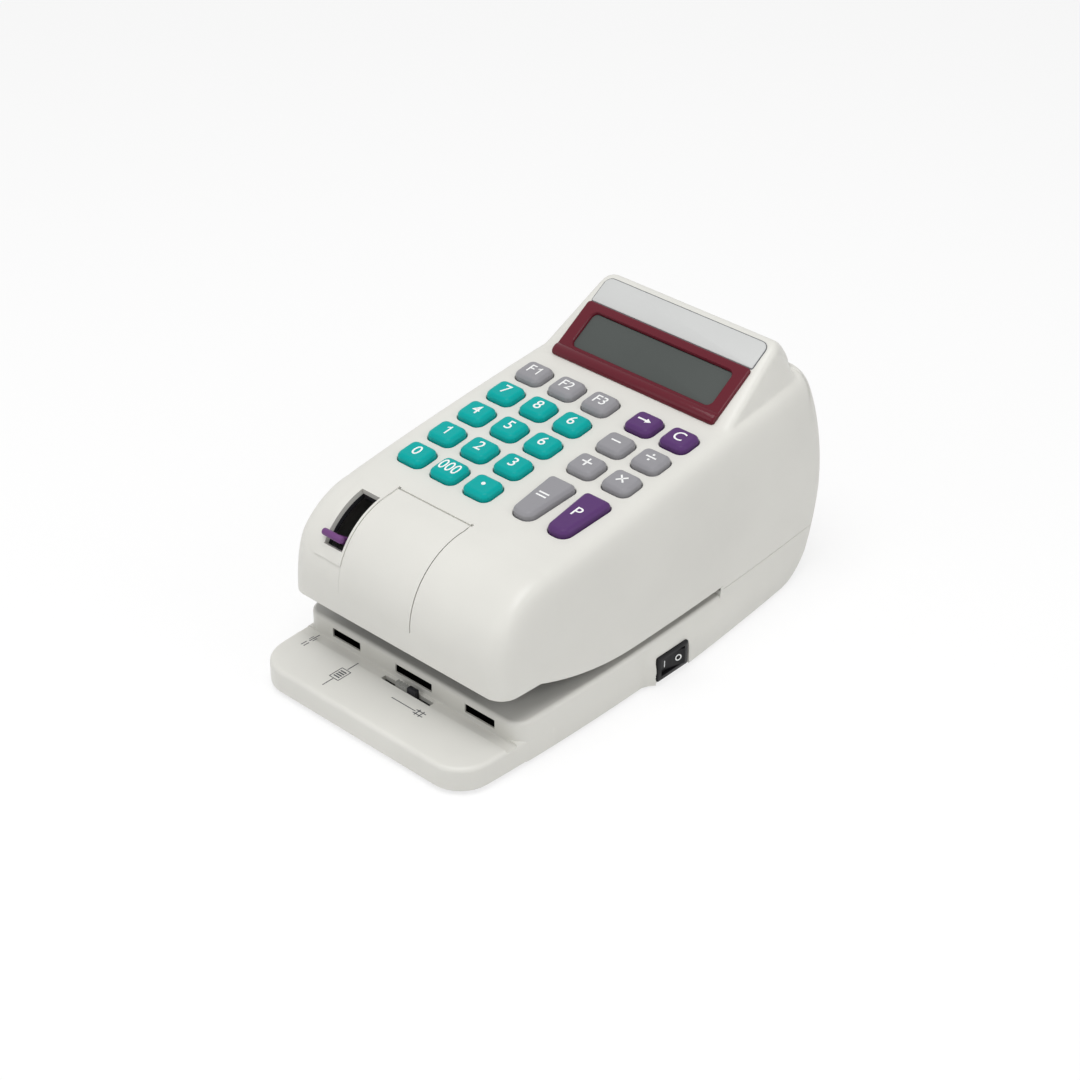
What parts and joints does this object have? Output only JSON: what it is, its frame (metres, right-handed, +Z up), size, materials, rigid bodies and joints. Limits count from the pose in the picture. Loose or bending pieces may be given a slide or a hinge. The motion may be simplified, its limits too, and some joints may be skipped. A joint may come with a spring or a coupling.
{
  "type": "check writer",
  "caption": "desktop electronic check writer with keypad, tilted display, open document throat over a flat paper deck, hinged ink roller cover and print lever",
  "frame": {"origin": "middle of the footprint, on the table under the rubber feet", "axes": "+X to the right of someone at the keypad, +Y from the front tray to the rear, +Z up"},
  "size_m": [0.1619, 0.283, 0.144],
  "materials": {
    "housing": "fine moulded texture, satin",
    "dark_plastic": "matte moulded",
    "switch_plastic": "black, smooth",
    "foot_rubber": "matte rubber",
    "steel": "zinc-plated sheet",
    "battery_jacket": "bare jacket",
    "slider_plastic": "matte grey",
    "roller_rubber": "ground rubber",
    "ink_felt": "inked felt",
    "bezel_plastic": "clear-coated dark red",
    "window_plastic": "dark grey, polished",
    "circuit_board": "solder mask",
    "label_plate": "brushed silver paint, bare",
    "lever_plastic": "purple, satin",
    "type_steel": "hardened and blackened",
    "gear_plastic": "white acetal",
    "brass_gear": "turned",
    "key_teal": "soft satin",
    "key_grey": "soft satin",
    "key_purple": "soft satin"
  },
  "bodies": {
    "body": {"base_housing": "housing", "bottom_plate": "dark_plastic", "rubber_feet": "foot_rubber", "housing_screws": "steel", "battery_cells": "battery_jacket", "upper_housing": "housing", "head_plate": "dark_plastic", "display_bezel": "bezel_plastic", "display_window": "window_plastic", "lcd_module": "circuit_board", "label_plate": "label_plate", "slot_bezel": "housing", "frame_left": "steel", "frame_right": "steel", "drive_motor": "steel", "key_membrane": "circuit_board", "main_board": "circuit_board", "switch_body": "switch_plastic", "dc_jack": "dark_plastic"},
    "battery_door": {"battery_door": "dark_plastic"},
    "stop_slider": {"stop_slider": "slider_plastic"},
    "print_hammer": {"print_hammer": "steel"},
    "feed_roller": {"feed_roller": "roller_rubber"},
    "print_lever": {"print_lever": "lever_plastic"},
    "ink_cover": {"ink_cover": "housing"},
    "type_wheels": {"type_wheels": "type_steel"},
    "ink_roller": {"ink_roller": "ink_felt"},
    "pinch_roller": {"pinch_roller": "roller_rubber"},
    "drive_gear": {"drive_gear": "gear_plastic"},
    "motor_pinion": {"motor_pinion": "brass_gear"},
    "switch_rocker": {"switch_rocker": "switch_plastic"},
    "key_0": {"key_0": "key_teal"},
    "key_000": {"key_000": "key_teal"},
    "key_dot": {"key_dot": "key_teal"},
    "key_1": {"key_1": "key_teal"},
    "key_2": {"key_2": "key_teal"},
    "key_3": {"key_3": "key_teal"},
    "key_4": {"key_4": "key_teal"},
    "key_5": {"key_5": "key_teal"},
    "key_6": {"key_6": "key_teal"},
    "key_7": {"key_7": "key_teal"},
    "key_8": {"key_8": "key_teal"},
    "key_9": {"key_9": "key_teal"},
    "key_f1": {"key_f1": "key_grey"},
    "key_f2": {"key_f2": "key_grey"},
    "key_f3": {"key_f3": "key_grey"},
    "key_plus": {"key_plus": "key_grey"},
    "key_times": {"key_times": "key_grey"},
    "key_minus": {"key_minus": "key_grey"},
    "key_divide": {"key_divide": "key_grey"},
    "key_arrow": {"key_arrow": "key_purple"},
    "key_c": {"key_c": "key_purple"},
    "key_equals": {"key_equals": "key_grey"},
    "key_print": {"key_print": "key_purple"}
  },
  "joints": [
    {"name": "key_0_press", "type": "slide", "parent": "body", "child": "key_0", "axis": [0, 0.1219, -0.9925], "range_m": [0, 0.002], "stiffness_N_per_m": 300},
    {"name": "key_000_press", "type": "slide", "parent": "body", "child": "key_000", "axis": [0, 0.1219, -0.9925], "range_m": [0, 0.002], "stiffness_N_per_m": 300},
    {"name": "key_dot_press", "type": "slide", "parent": "body", "child": "key_dot", "axis": [0, 0.1219, -0.9925], "range_m": [0, 0.002], "stiffness_N_per_m": 300},
    {"name": "key_1_press", "type": "slide", "parent": "body", "child": "key_1", "axis": [0, 0.1219, -0.9925], "range_m": [0, 0.002], "stiffness_N_per_m": 300},
    {"name": "key_2_press", "type": "slide", "parent": "body", "child": "key_2", "axis": [0, 0.1219, -0.9925], "range_m": [0, 0.002], "stiffness_N_per_m": 300},
    {"name": "key_3_press", "type": "slide", "parent": "body", "child": "key_3", "axis": [0, 0.1219, -0.9925], "range_m": [0, 0.002], "stiffness_N_per_m": 300},
    {"name": "key_4_press", "type": "slide", "parent": "body", "child": "key_4", "axis": [0, 0.1219, -0.9925], "range_m": [0, 0.002], "stiffness_N_per_m": 300},
    {"name": "key_5_press", "type": "slide", "parent": "body", "child": "key_5", "axis": [0, 0.1219, -0.9925], "range_m": [0, 0.002], "stiffness_N_per_m": 300},
    {"name": "key_6_press", "type": "slide", "parent": "body", "child": "key_6", "axis": [0, 0.1219, -0.9925], "range_m": [0, 0.002], "stiffness_N_per_m": 300},
    {"name": "key_7_press", "type": "slide", "parent": "body", "child": "key_7", "axis": [0, 0.1219, -0.9925], "range_m": [0, 0.002], "stiffness_N_per_m": 300},
    {"name": "key_8_press", "type": "slide", "parent": "body", "child": "key_8", "axis": [0, 0.1219, -0.9925], "range_m": [0, 0.002], "stiffness_N_per_m": 300},
    {"name": "key_9_press", "type": "slide", "parent": "body", "child": "key_9", "axis": [0, 0.1219, -0.9925], "range_m": [0, 0.002], "stiffness_N_per_m": 300},
    {"name": "key_f1_press", "type": "slide", "parent": "body", "child": "key_f1", "axis": [0, 0.1219, -0.9925], "range_m": [0, 0.002], "stiffness_N_per_m": 300},
    {"name": "key_f2_press", "type": "slide", "parent": "body", "child": "key_f2", "axis": [0, 0.1219, -0.9925], "range_m": [0, 0.002], "stiffness_N_per_m": 300},
    {"name": "key_f3_press", "type": "slide", "parent": "body", "child": "key_f3", "axis": [0, 0.1219, -0.9925], "range_m": [0, 0.002], "stiffness_N_per_m": 300},
    {"name": "key_plus_press", "type": "slide", "parent": "body", "child": "key_plus", "axis": [0, 0.1219, -0.9925], "range_m": [0, 0.002], "stiffness_N_per_m": 300},
    {"name": "key_times_press", "type": "slide", "parent": "body", "child": "key_times", "axis": [0, 0.1219, -0.9925], "range_m": [0, 0.002], "stiffness_N_per_m": 300},
    {"name": "key_minus_press", "type": "slide", "parent": "body", "child": "key_minus", "axis": [0, 0.1219, -0.9925], "range_m": [0, 0.002], "stiffness_N_per_m": 300},
    {"name": "key_divide_press", "type": "slide", "parent": "body", "child": "key_divide", "axis": [0, 0.1219, -0.9925], "range_m": [0, 0.002], "stiffness_N_per_m": 300},
    {"name": "key_arrow_press", "type": "slide", "parent": "body", "child": "key_arrow", "axis": [0, 0.1219, -0.9925], "range_m": [0, 0.002], "stiffness_N_per_m": 300},
    {"name": "key_c_press", "type": "slide", "parent": "body", "child": "key_c", "axis": [0, 0.1219, -0.9925], "range_m": [0, 0.002], "stiffness_N_per_m": 300},
    {"name": "key_equals_press", "type": "slide", "parent": "body", "child": "key_equals", "axis": [0, 0.1219, -0.9925], "range_m": [0, 0.002], "stiffness_N_per_m": 300},
    {"name": "key_print_press", "type": "slide", "parent": "body", "child": "key_print", "axis": [0, 0.1219, -0.9925], "range_m": [0, 0.002], "stiffness_N_per_m": 300},
    {"name": "battery_door_hinge", "type": "hinge", "parent": "body", "child": "battery_door", "pos_m": [0, 0.095, 0.0013], "axis": [1, 0, 0], "range_deg": [0, 90]},
    {"name": "stop_slide", "type": "slide", "parent": "body", "child": "stop_slider", "axis": [1, 0, 0], "range_m": [-0.008, 0.008]},
    {"name": "hammer_lift", "type": "slide", "parent": "body", "child": "print_hammer", "axis": [0, 0, 1], "range_m": [0, 0.0006], "stiffness_N_per_m": 1500},
    {"name": "feed_turn", "type": "hinge", "parent": "body", "child": "feed_roller", "pos_m": [0, -0.038, 0.0193], "axis": [1, 0, 0], "continuous": true},
    {"name": "pinch_turn", "type": "hinge", "parent": "body", "child": "pinch_roller", "pos_m": [0, -0.038, 0.0366], "axis": [1, 0, 0], "continuous": true},
    {"name": "lever_swing", "type": "hinge", "parent": "body", "child": "print_lever", "pos_m": [-0.04205, -0.0755, 0.05844], "axis": [-1, 0, 0], "range_deg": [-4, 36]},
    {"name": "cover_hinge", "type": "hinge", "parent": "body", "child": "ink_cover", "pos_m": [-0.0124, -0.072, 0.09696], "axis": [-1, 0, 0], "range_deg": [0, 80]},
    {"name": "type_turn", "type": "hinge", "parent": "body", "child": "type_wheels", "pos_m": [0, -0.0667, 0.0455], "axis": [1, 0, 0], "continuous": true},
    {"name": "ink_turn", "type": "hinge", "parent": "body", "child": "ink_roller", "pos_m": [0, -0.08636, 0.06516], "axis": [1, 0, 0], "continuous": true},
    {"name": "gear_turn", "type": "hinge", "parent": "body", "child": "drive_gear", "pos_m": [0.016, -0.0559, 0.06421], "axis": [1, 0, 0], "continuous": true},
    {"name": "motor_turn", "type": "hinge", "parent": "body", "child": "motor_pinion", "pos_m": [0.016, -0.03858, 0.07421], "axis": [1, 0, 0], "continuous": true},
    {"name": "rocker_tip", "type": "hinge", "parent": "body", "child": "switch_rocker", "pos_m": [0.0772, 0.0045, 0.0102], "axis": [0, 0, 1], "range_deg": [0, 18]}
  ],
  "couplings": [
    {"joint": "ink_turn", "follows": "type_turn", "ratio": -2.0556},
    {"joint": "gear_turn", "follows": "type_turn", "ratio": -0.35},
    {"joint": "motor_turn", "follows": "type_turn", "ratio": 1.4},
    {"joint": "pinch_turn", "follows": "feed_turn", "ratio": -0.7}
  ]
}
